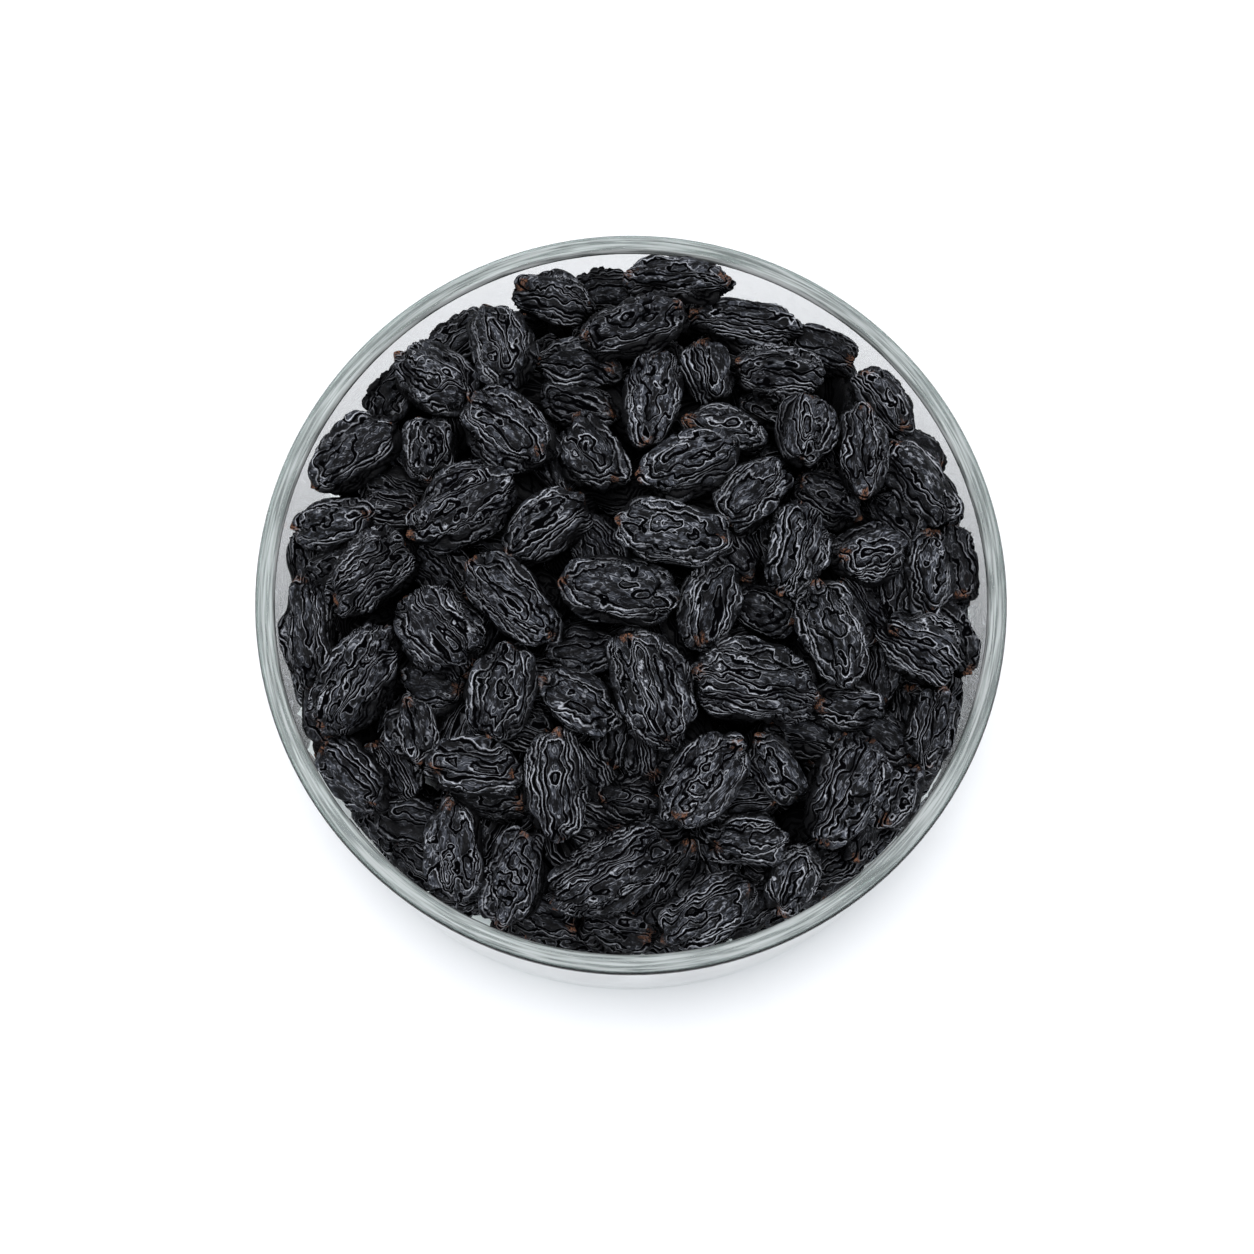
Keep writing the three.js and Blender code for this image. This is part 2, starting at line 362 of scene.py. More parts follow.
# %% Ball with even faces
def ball_mesh(cuts):
    """A ball of radius 1 from a cube with this many cuts along each edge."""
    bm = bmesh.new()
    bmesh.ops.create_cube(bm, size=2)
    bmesh.ops.subdivide_edges(bm, edges=bm.edges[:], cuts=cuts, use_grid_fill=True)
    for vert in bm.verts:
        even = Vector([math.tan(c * math.pi / 4) for c in vert.co])
        vert.co = even.normalized()
    mesh = bpy.data.meshes.new("ball")
    bm.to_mesh(mesh)
    bm.free()
    mesh.shade_smooth()
    return mesh


def read_points(mesh):
    flat = np.zeros(len(mesh.vertices) * 3)
    mesh.vertices.foreach_get("co", flat)
    return flat.reshape(-1, 3)


def read_edges(mesh):
    flat = np.zeros(len(mesh.edges) * 2, int)
    mesh.edges.foreach_get("vertices", flat)
    return flat.reshape(-1, 2)


def unit(vectors):
    return vectors / np.linalg.norm(vectors, axis=-1, keepdims=True)


class Ball:
    """A ball mesh with its points and edges, read once and used for every raisin of that fineness."""

    def __init__(self, cuts):
        self.mesh = ball_mesh(cuts)
        self.points = read_points(self.mesh)
        self.edges = read_edges(self.mesh)

    def slope_of(self, values, points):
        """How fast the values change over the surface, per millimetre."""
        first, second = self.edges.T
        lengths = np.linalg.norm(points[first] - points[second], axis=1)
        steep = ((values[first] - values[second]) / lengths) ** 2
        total = np.zeros(len(points))
        count = np.zeros(len(points))
        for end in (first, second):
            np.add.at(total, end, steep)
            np.add.at(count, end, 1)
        return np.sqrt(2 * total / count)


# %% [markdown]
# The map whose height lines are the furrows is a slope that falls from the top of the raisin to
# its flanks, with hills on it that are longer than wide. Every whole number on the map is a
# furrow. Bending the points a little before the map is read gives the furrows their wander, and
# a fast small bend gives them their kinks.

# %% Map of the furrows
WAVE_COUNT = 12
WANDER_LENGTH = 3.2
WANDER_ALONG = 0.5
WANDER_SIZE = 0.22
KINK_LENGTH = 1.3
KINK_ALONG = 0.8
KINK_SIZE = 0.09
TOP_SHIFT = 1.5
FURROW_SPACING = (0.8, 1.05)
HILL_COUNT = 14
HILL_LENGTH = (2.8, 4.0)
HILL_ALONG = (0.05, 0.16)
HILL_HEIGHT = (0.35, 0.55)


class Waves:
    """A sum of plane waves of one length; along tells how fast it changes lengthwise."""

    def __init__(self, rng, length, along, count):
        spread = rng.normal(size=(count, 3)) * (along, 1, 1)
        self.rates = unit(spread) * math.tau / length
        self.shifts = rng.uniform(0, math.tau, size=count)
        self.scale = math.sqrt(2 / count)

    def __call__(self, points):
        return np.cos(points @ self.rates.T + self.shifts).sum(axis=1) * self.scale


def bend(points, rng, length, along, size):
    """The points, each moved a little by waves of this length."""
    shifts = [Waves(rng, length, along, WAVE_COUNT)(points) for axis in range(3)]
    return points + size * np.column_stack(shifts)


def furrow_map(points, rng):
    """Grows by one from each furrow to the next."""
    bent = bend(points, rng, WANDER_LENGTH, WANDER_ALONG, WANDER_SIZE)
    bent = bend(bent, rng, KINK_LENGTH, KINK_ALONG, KINK_SIZE)
    side = bent[:, 1] - rng.uniform(-TOP_SHIFT, TOP_SHIFT)
    across = np.hypot(side, bent[:, 2]) * np.arctan2(np.abs(side), bent[:, 2])
    lengthwise = rng.uniform(0, 1)
    fall = lengthwise * np.hypot(across, 1.0) - (1 - lengthwise) * bent[:, 2]
    hills = Waves(rng, rng.uniform(*HILL_LENGTH), rng.uniform(*HILL_ALONG), HILL_COUNT)
    return fall / rng.uniform(*FURROW_SPACING) + rng.uniform(*HILL_HEIGHT) * hills(bent)


# %% [markdown]
# One raisin: first the smooth form, longer than wide and flatter than wide, one end a little
# fuller; then slow dents; then the furrows. The stem end has a small scar, a nub in a shallow
# pit, and the tip has a fainter one that only its colour shows. The map stays on the mesh as an
# attribute, so that the material can draw the light along the very same edges, and finer than
# the faces are.

# %% Form of one raisin
FULLNESS = (1.95, 2.3)
TAPER = 0.13
CURVE = 0.5
DENT_LENGTH = 8.0
DENT_ALONG = 0.7
DENT_DEPTH = 0.22
CREASE_COUNT = 16
CREASE_LENGTH = 3.6
CREASE_ALONG = 0.2
CREASE_DEPTH = 0.26
SWELL = 0.3
FURROW_DEPTH = 0.8
FURROW_WIDTH = 0.32
# The steepness of the map stays between these, where furrows are sparse and where they crowd
SPARSE = 0.25
CROWDED = 1.35
# How dents and creases change the depth of the furrows and the painted light on the skin
DEEPER_IN_DENTS = 0.25
SHALLOWER_ON_CREASES = 0.2
DEPTH_SHARES = (0.5, 1.4)
LIGHT_ON_CREASES = 0.24
LIGHT_IN_DENTS = 0.1
# The scars: how far above the ends they sit, in degrees, and the sizes of the nub and its pit
STEM_LIFT = (8, 35)
TIP_LIFT = (0, 35)
FAINTER_TIP = 1.6
NUB_HEIGHT = 0.7
NUB_SIZE = 0.7
PIT_DEPTH = 0.5
PIT_SIZE = 1.5
OUT_OF_REACH = 9.0


def from_scar(start, half, heading, lift):
    """How far each point is from a scar at one end of the ball, in millimetres."""
    scar = np.array([math.cos(heading) * math.cos(lift), 0, math.sin(lift)])
    beside = np.linalg.norm(np.cross(start, scar), axis=1) * half[1]
    return np.where(start @ scar > 0, beside, OUT_OF_REACH)


def make_scars(start, half, rng):
    """How far each point is from the nearer scar, and how far the stem's nub and pit move it out."""
    from_stem = from_scar(start, half, 0, math.radians(rng.uniform(*STEM_LIFT)))
    from_tip = from_scar(start, half, math.pi, math.radians(rng.uniform(*TIP_LIFT)))
    pit = PIT_DEPTH * np.exp(-(from_stem / PIT_SIZE) ** 2)
    nub = NUB_HEIGHT * np.exp(-(from_stem / NUB_SIZE) ** 2)
    from_end = np.minimum(from_stem, from_tip + rng.uniform(0.0, FAINTER_TIP))
    return from_end, nub - pit


def smooth_form(start, half, rng):
    """The raisin before it wrinkles: longer than wide, a little bent, and one end fuller."""
    fullness = rng.uniform(*FULLNESS)
    across = np.hypot(start[:, 1], start[:, 2])
    reach = (np.abs(start[:, 0]) ** fullness + across ** fullness) ** (1 / fullness)
    points = start / reach[:, None] * half
    points[:, 1:] *= 1 + rng.uniform(-TAPER, TAPER) * start[:, :1]
    points[:, 1] += rng.uniform(-CURVE, CURVE) * (1 - 2 * start[:, 0] ** 2)
    return points


def form_raisin(ball, half, rng):
    """Points of one raisin about its own middle in millimetres, and its attributes."""
    start = ball.points
    points = smooth_form(start, half, rng)
    normals = unit(start / half)
    dents = Waves(rng, DENT_LENGTH, DENT_ALONG, WAVE_COUNT)(points)
    creases = Waves(rng, CREASE_LENGTH, CREASE_ALONG, CREASE_COUNT)(points)
    furrows = furrow_map(points, rng)
    slope = np.clip(ball.slope_of(furrows, points), SPARSE, CROWDED)
    off_furrow = np.abs(furrows - np.round(furrows)) / slope
    strength = np.clip(1 + DEEPER_IN_DENTS * dents - SHALLOWER_ON_CREASES * creases, *DEPTH_SHARES)
    rise = DENT_DEPTH * dents + CREASE_DEPTH * creases + SWELL
    rise -= FURROW_DEPTH * strength * np.exp(-(off_furrow / FURROW_WIDTH) ** 2)
    from_end, scar_rise = make_scars(start, half, rng)
    rise += scar_rise
    # Painted light: lighter on the raisin's flat side, which is turned up or out, and where creases and
    # dents rise
    painted_light = normals[:, 2] + LIGHT_ON_CREASES * creases + LIGHT_IN_DENTS * dents
    lines = {"furrows": furrows, "slope": slope, "from_end": from_end, "painted_light": np.clip(painted_light, 0, 1)}
    lines["along"], lines["beside"], lines["above"] = points.T
    return points + normals * rise[:, None], lines


# %% [markdown]
# A raisin that would reach into the glass is flattened there, as one is that is pressed against
# it. This is done point by point: at the wall and the floor by holding the point back, and at the
# rounded corner between them by drawing it towards the middle of that round. What is made is then
# moved to its place, and the numbers that the skin needs are put on the mesh.

# %% Put one raisin in its place
GLASS_CLEARANCE = 0.12
TINY = 1e-6


def keep_off_glass(points):
    """The points, with those that would reach into the glass moved back inside it."""
    radius = np.hypot(points[:, 0], points[:, 1])
    inside = np.minimum(1, (INNER_RADIUS - GLASS_CLEARANCE) / radius)
    below_rim = points[:, 2] < BOWL_HEIGHT
    points[:, :2] *= np.where(below_rim, inside, 1)[:, None]
    points[:, 2] = np.maximum(points[:, 2], BASE_THICKNESS + GLASS_CLEARANCE)
    turn_radius = INNER_RADIUS - FLOOR_ROUND
    turn_height = BASE_THICKNESS + FLOOR_ROUND
    radius = np.hypot(points[:, 0], points[:, 1])
    out = radius - turn_radius
    down = turn_height - points[:, 2]
    corner = np.hypot(out, down)
    shrink = (FLOOR_ROUND - GLASS_CLEARANCE) / np.maximum(corner, TINY)
    deep = (out > 0) & (down > 0) & (shrink < 1)
    points[deep, :2] *= ((turn_radius + out * shrink) / np.maximum(radius, TINY))[deep][:, None]
    points[deep, 2] = (turn_height - down * shrink)[deep]
    return points


def raisin_object(name, ball, half, turn, place, rng, bloom_and_light=1.0):
    """A raisin object: its long axis is the turn's first column, and its middle is at place."""
    points, lines = form_raisin(ball, np.array(half), rng)
    # A share below one is painted shade, for raisins that lie under others
    lines["painted_light"] = lines["painted_light"] * bloom_and_light
    mesh = ball.mesh.copy()
    mesh.name = name
    placed = keep_off_glass(points @ np.array(turn).T + np.array(place)) * MM
    mesh.vertices.foreach_set("co", placed.ravel())
    lines["tone"] = np.full(len(points), rng.uniform(0, 1))
    for title, values in lines.items():
        layer = mesh.attributes.new(title, "FLOAT", "POINT")
        layer.data.foreach_set("value", values)
    mesh.update()
    made = bpy.data.objects.new(name, mesh)
    bpy.context.scene.collection.objects.link(made)
    return made


# %% [markdown]
# Dried black grape skin is nearly black with a cool bloom, painted brighter on the side that faces up
# or out, as painted light. The furrows are black, as painted shade, and beside each runs a thin pale
# crest, mostly on one side only: a painted highlight and partly bloom. Fine crinkles with painted shade
# and a pale crest of their own cross the flat tops. The scars at the ends are rust-brown. How far a
# place is from the next furrow is worked out from the map, with noise added so that no edge runs
# smooth.

# %% Lines on the skin
# Noise: how often it changes in a millimetre, and how many finer layers it has
BROAD = (0.4, 1.0)
MOTTLE = (1.3, 3.0)
GRAIN = (4.5, 2.0)
UNEVEN = (0.75, 2.0)
# Each raisin reads the noise at a place of its own, stretched lengthwise
STRETCH = 0.4
OWN_PLACE = 40
# How much noise moves the furrow lines, on the map and in millimetres
WOBBLE = 0.2
RAGGED = 0.5
# Where the painted shade of the furrow floor and the painted highlight of the pale edges start and
# end, in millimetres from the furrow's line
FLOOR_BAND = (0.30, 0.12)
NEAR_START = (0.17, 0.25)
FAR_START = (0.18, 0.25)
EDGE_END = (0.35, 0.26)
NEAR_SHARE = 0.75
# Crinkles are where fine noise passes a whole number; shade is painted in them, and a highlight on
# the pale crest beside each
CRINKLES = 7.0
CRINKLE_BAND = (0.18, 0.05)
CREST_START = (0.12, 0.22)
CREST_END = (0.42, 0.26)
CREST_WHERE = (0.42, 0.6)


def attribute(start, name):
    return start.node("ShaderNodeAttribute", {"attribute_name": name}, output="Fac")


def noise(place, scale, detail):
    return place.node("ShaderNodeTexNoise", {}, {"Vector": place, "Scale": scale, "Detail": detail})


def furrow_lines(furrows, slope, mottle, uneven):
    """The furrow floors' painted shade, and the pale edges beside them, stronger on one side: painted
    highlight and partly bloom.
    """
    wavy = furrows + WOBBLE * (mottle - 0.5)
    ragged = RAGGED * (uneven - 0.5)
    off_furrow = wavy.maths("PINGPONG", wavy, 0.5) / slope + ragged
    past_furrow = wavy.maths("FRACT", wavy) / slope + ragged
    near = past_furrow.ramp(*NEAR_START) * past_furrow.ramp(*EDGE_END)
    far = off_furrow.ramp(*FAR_START) * off_furrow.ramp(*EDGE_END)
    return off_furrow.ramp(*FLOOR_BAND), NEAR_SHARE * near + (1 - NEAR_SHARE) * far


def crinkle_lines(uneven, mottle):
    """Fine crinkles across the flat tops, with painted shade, and the pale crest beside each, a painted
    highlight.
    """
    fine = CRINKLES * uneven
    crinkle = fine.maths("PINGPONG", fine, 0.5).ramp(*CRINKLE_BAND)
    past_crinkle = fine.maths("FRACT", fine)
    crest = past_crinkle.ramp(*CREST_START) * past_crinkle.ramp(*CREST_END)
    return crinkle, crest * mottle.ramp(*CREST_WHERE)


# %% [markdown]
# The colours go on in the order in which they cover each other: dark skin, then bloom with painted
# light, then the pale edges, painted highlights and partly bloom, then rust at the scars. The furrow
# floors get a black shader of their own with no gloss at all, as painted shade, because light hardly
# reaches them. A bump adds the relief that is finer than the faces.

# %% Raisin skin
# Painted shade: the furrow floors are black, as light hardly reaches them
FURROW_SHADE = (0.0010, 0.0010, 0.0013, 1)
SKIN_DARK = (0.0022, 0.0023, 0.0028, 1)
SKIN_BLOOM = (0.054, 0.059, 0.072, 1)
# Pale edges and crests: painted highlights, partly pale bloom
EDGE_BLOOM_AND_HIGHLIGHT = (0.560, 0.580, 0.630, 1)
STEM_RUST = (0.170, 0.078, 0.045, 1)
EDGE_WHERE = (0.32, 0.58)
EDGE_LEAST = 0.3
CREST_SHARE = 0.35
BLOOM_WHERE = (0.44, 0.6)
BLOOM_MOTTLE = 0.6
BLOOM_GRAIN = 0.4
BLOOM_LEAST = 0.55
BLOOM_BY_TONE = 0.45
# Painted shade in the fine crinkles
CRINKLE_SHADE = 0.75
RUST_PATCHY = 3.0
RUST_REACH = (2.95, 1.9)
RUST_WHERE = (0.4, 0.6)
RUST_SHARE = 0.85
GRAIN_RELIEF = 0.6
MOTTLE_RELIEF = 0.9
EDGE_RELIEF = 0.3
FLOOR_RELIEF = 0.9
CRINKLE_RELIEF = 0.5
RELIEF_STRENGTH = 0.8
RELIEF_DEPTH = 0.0002
SKIN_ROUGHNESS = 0.5
GRAIN_ROUGHNESS = 0.2
EDGE_SMOOTHER = 0.15
SKIN_GLOSS = 0.09


def make_skin():
    material, end, start = new_material("raisin_skin")
    names = ("furrows", "slope", "from_end", "painted_light", "tone", "along", "beside", "above")
    wires = [attribute(start, name) for name in names]
    furrows, slope, from_end, painted_light, tone, along, beside, above = wires
    lengthwise = along * STRETCH + OWN_PLACE * tone
    own = start.node("ShaderNodeCombineXYZ", {}, {0: lengthwise, 1: beside, 2: above})
    broad, mottle, grain, uneven = [noise(own, *kind) for kind in (BROAD, MOTTLE, GRAIN, UNEVEN)]
    floor, edge = furrow_lines(furrows, slope, mottle, uneven)
    crinkle, crest = crinkle_lines(uneven, mottle)
    # Pale edges and crests: painted highlights and partly bloom, brightest where the painted light is
    edge = edge * broad.ramp(*EDGE_WHERE) + CREST_SHARE * crest
    edge = edge * (EDGE_LEAST + grain) * painted_light
    # Bloom, shown where the painted light is, with painted shade in the crinkles
    bloom_and_light = (BLOOM_MOTTLE * mottle + BLOOM_GRAIN * grain).ramp(*BLOOM_WHERE)
    bloom_and_light = bloom_and_light * (BLOOM_LEAST + BLOOM_BY_TONE * tone) * painted_light * (1 - CRINKLE_SHADE * crinkle)
    rust = (from_end + RUST_PATCHY * mottle).ramp(*RUST_REACH) * grain.ramp(*RUST_WHERE) * RUST_SHARE
    skin = bloom_and_light.colours(SKIN_DARK, SKIN_BLOOM)
    skin = edge.colours(skin, EDGE_BLOOM_AND_HIGHLIGHT)
    skin = rust.colours(skin, STEM_RUST)
    height = GRAIN_RELIEF * grain + MOTTLE_RELIEF * mottle + EDGE_RELIEF * edge
    height = height - FLOOR_RELIEF * floor - CRINKLE_RELIEF * crinkle
    relief = start.node("ShaderNodeBump", {}, {
        "Strength": RELIEF_STRENGTH, "Distance": RELIEF_DEPTH, "Height": height})
    roughness = SKIN_ROUGHNESS + GRAIN_ROUGHNESS * grain - EDGE_SMOOTHER * edge
    paint = start.node("ShaderNodeBsdfPrincipled", {}, {
        "Base Color": skin, "Roughness": roughness, "Specular IOR Level": SKIN_GLOSS, "Normal": relief})
    # The furrow floors: black and without gloss, as painted shade
    painted_floor_shade = start.node("ShaderNodeBsdfPrincipled", {}, {
        "Base Color": FURROW_SHADE, "Roughness": 1.0, "Specular IOR Level": 0.0})
    both = start.node("ShaderNodeMixShader", {}, {0: floor, 1: paint, 2: painted_floor_shade})
    material.node_tree.links.new(both.socket, end.inputs["Surface"])
    return material


raisin_skin = make_skin()
print("raisin skin", len(raisin_skin.node_tree.nodes), "nodes")

# %% [markdown]
# The top layer stands where the construction model has it. Each of its plain bodies is an egg
# shape, and the spread of its corners about their middle gives back its axes and its three sizes:
# on a ball the corners spread by a third of the radius squared in each direction.

# %% Top layer
FACET_GROWTH = 1.04
SPREAD_TO_SIZE = 3
TOP_CUTS = 28
SEED = 20


def read_body(node):
    """Middle, turn and half sizes in millimetres of a raisin's plain body."""
    corners = read_points(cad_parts[node].data) / MM
    middle = corners.mean(axis=0)
    spread = np.cov((corners - middle).T, bias=True)
    sizes, axes = np.linalg.eigh(spread)
    up = axes[:, 0] * np.sign(axes[2, 0])
    long = axes[:, 2]
    turn = np.column_stack([long, np.cross(up, long), up])
    half = np.sqrt(SPREAD_TO_SIZE * sizes[::-1]) / FACET_GROWTH
    return middle, turn, half


top_names = sorted(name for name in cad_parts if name.startswith("raisin_") and name[-1].isdigit())
top_ball = Ball(TOP_CUTS)
for number, name in enumerate(top_names):
    middle, turn, half = read_body(name)
    rng = np.random.default_rng(SEED + number)
    raisin = raisin_object(f"top_{name}", top_ball, half, turn, middle, rng)
    raisin.data.materials.append(raisin_skin)
    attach(raisin, "root")
    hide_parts(name)
print(len(top_names), "raisins in the top layer,", len(top_ball.mesh.polygons) * 2, "triangles each")

# %% [markdown]
# Under the top layer lie nearly five hundred more raisins, and through the glass a wall of them
# shows. The second layer shows between the top raisins, so its raisins are listed where the
# photo shows them. The rest start at random places in the bowl. Beside the wall they lie deeper,
# though in front only a little, because clear glass shows there between heap and rim.

# %% What lies under the top layer
HEAP_CENTRE = 8.0
HEAP_EDGE = -4.5
SECOND_DEPTH = 4.0
FILL_DEPTH = 8.5
BACK_WALL_DROP = 8.0
FILL_COUNT = 430
FILL_LENGTH = (12.5, 18.0)
FILL_WIDTH = (8.2, 11.0)
WIDEST = 0.75
FLATNESS = 0.84
# The lower filling beside the wall: where it starts, how soon it is full, and how it fades in front
DROP_START = 40.0
DROP_WIDTH = 8.0
DROP_SHARE = 0.9
DROP_LEAST = 0.2
FRONT_FADE = 60.0
# Room left to the wall, the floor and the layer above before the shaking starts
WALL_ROOM = 5.0
FLOOR_ROOM = 4.0
SECOND_ROOM = 2.0
UPRIGHT_SHARE = 0.45

# x and y of the middle, direction of the long axis in degrees, length and width, in millimetres
SECOND_LAYER = [
    (-29, 44, 28, 12.5, 7.5), (-39.5, 34, 62, 12, 7.5), (-4.5, 52.5, 0, 10.5, 7.5),
    (-8.5, 32.5, -20, 13.5, 8), (30.5, 43, -28, 12, 7.5), (45.5, 25.5, -45, 12.5, 7.5),
    (49.5, 17.5, -65, 11, 7.5), (-39.5, 14, 0, 10.5, 7.5), (-52, 6, -75, 11.5, 7.5),
    (-30.5, 4.5, -45, 13.5, 9.5), (-31.5, -16, 0, 10.5, 7.5), (-5, 7, -50, 12.5, 9),
    (-7.5, -9.5, 0, 10.5, 7.5), (16, 7, -60, 10.5, 7.5), (52, 7, -82, 12.5, 7.5),
    (51, -5, -62, 14, 7.5), (37.5, -2, -50, 12.5, 8), (40, -11, 85, 11, 7.5),
    (45, -18.5, 90, 11, 7.5), (-35.5, -35, -30, 11, 7.5), (-23, -32, -5, 14, 7.5),
    (-37.5, -36.5, -45, 10.5, 7.5), (-32.5, -41, -48, 11, 7.5), (-5, -28, -70, 10.5, 7.5),
    (-3.5, -22.5, 90, 10.5, 7.5), (-0.5, -32, 0, 10.5, 7.5), (6.5, -45.5, 50, 15, 8),
    (-2, -52.5, -8, 13, 7.5), (-13.5, -50.5, -15, 12.5, 7.5), (2.5, -24.5, -80, 10.5, 7.5),
    (18.5, -33, 10, 12.5, 7.5), (41.5, -22, -20, 10.5, 7.5), (37, -37, 65, 10.5, 7.5),
    (33, -41, 30, 10.5, 7.5), (20, -48.5, 30, 10.5, 7.5), (28.5, -21.5, -5, 14, 7.5),
    (-49.5, -17.5, -75, 12, 7.5), (24, 33, -15, 13, 7.5), (-17, -21, -20, 10.5, 7.5),
    (-39, 18.5, -30, 11.5, 8), (-12.5, 21.5, -60, 13.5, 7.5), (-6.5, -36, -20, 11.5, 7.5),
    (31.5, 15.5, -30, 11.5, 8), (43.5, 13, -50, 10.5, 7.5), (43, 2, 90, 11.5, 7.5),
    (19, 43.5, -5, 15.5, 7.5), (-47.5, 5.5, 25, 10.5, 7.5), (21.5, -2.5, -20, 11.5, 8),
    (13, -40, -60, 10.5, 7.5),
]


def heap_height(radius):
    """Height of the top raisins' middles at a distance from the bowl's axis."""
    share = np.minimum(radius / INNER_RADIUS, 1)
    return BOWL_HEIGHT + HEAP_CENTRE - (HEAP_CENTRE - HEAP_EDGE) * share ** 2


def wall_drop(middles, radius):
    """How much deeper the filling lies where the photo shows clear glass between heap and rim."""
    at_wall = np.clip((radius - DROP_START) / DROP_WIDTH, 0, 1)
    not_in_front = np.clip(DROP_SHARE + middles[:, 1] / FRONT_FADE, DROP_LEAST, 1)
    return BACK_WALL_DROP * at_wall * not_in_front


def start_second_layer():
    rows = np.array(SECOND_LAYER, float)
    heading = np.radians(rows[:, 2])
    height = heap_height(np.hypot(rows[:, 0], rows[:, 1])) - SECOND_DEPTH - SECOND_ROOM
    middles = np.column_stack([rows[:, :2], height])
    ways = np.column_stack([np.cos(heading), np.sin(heading), np.zeros(len(rows))])
    halves = np.column_stack([rows[:, 3], rows[:, 4], rows[:, 4] * FLATNESS]) / 2
    return middles, ways, halves


def start_fill(rng):
    radius = (INNER_RADIUS - WALL_ROOM) * np.sqrt(rng.uniform(0, 1, FILL_COUNT))
    angle = rng.uniform(0, math.tau, FILL_COUNT)
    floor = BASE_THICKNESS + FLOOR_ROOM
    height = floor + (heap_height(radius) - FILL_DEPTH - floor) * rng.uniform(0, 1, FILL_COUNT)
    middles = np.column_stack([radius * np.cos(angle), radius * np.sin(angle), height])
    ways = unit(rng.normal(size=(FILL_COUNT, 3)) * (1, 1, UPRIGHT_SHARE))
    length = rng.uniform(*FILL_LENGTH, FILL_COUNT)
    width = np.minimum(rng.uniform(*FILL_WIDTH, FILL_COUNT), WIDEST * length)
    return middles, ways, np.column_stack([length, width, width * FLATNESS]) / 2


print(len(SECOND_LAYER), "raisins in the second layer and", FILL_COUNT, "below it")

# %% [markdown]
# Nobody could place hundreds of raisins by hand, so they are shaken into place. Each is stood in
# for by five balls in a row, which makes it easy to see how deep two of them overlap. In many small
# rounds every overlapping pair is pushed apart, with the glass and the top layer as walls that
# don't give way. A push off the middle also turns the raisin. The second layer keeps its places in
# the plan and floats up to just under the top one, and all others stay below.
# A rigid body simulation could do this too. These sums take a few seconds, and give the same heap
# each time.

# %% Shaking them into place
BALL_SPOTS = np.array([-1, -0.55, 0, 0.55, 1])
PAIR_ROOM = 1.0
LEAST_PUSH = 1e-4
ROUNDS = 260
PUSH_SHARE = 0.6
HOME_SHARE = 0.12
FLOAT_UP = 0.08
PAIR_ROUNDS = 6


